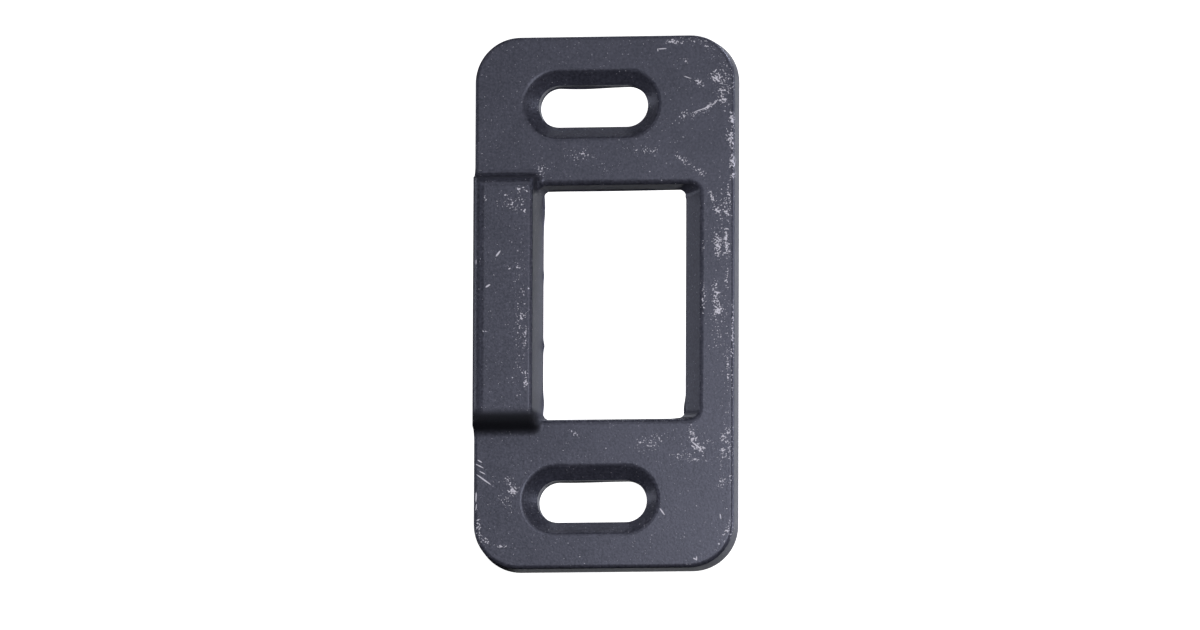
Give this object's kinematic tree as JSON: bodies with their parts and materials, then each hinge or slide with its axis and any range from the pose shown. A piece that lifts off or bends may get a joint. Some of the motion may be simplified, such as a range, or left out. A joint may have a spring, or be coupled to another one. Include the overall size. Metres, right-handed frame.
{
  "type": "door strike plate",
  "caption": "Cast door strike plate with rounded corners, a latch window with a lead-in ramp, a raised lip beside the window and countersunk screw slots.",
  "frame": {"origin": "centre of the flat back face", "axes": "+X across the plate, away from the lip; +Y along the plate; +Z out of the back towards the face"},
  "size_m": [0.0338, 0.0686, 0.0073],
  "materials": {
    "black_casting": "matte"
  },
  "bodies": {
    "root": {"strike_plate": "black_casting"}
  },
  "joints": []
}
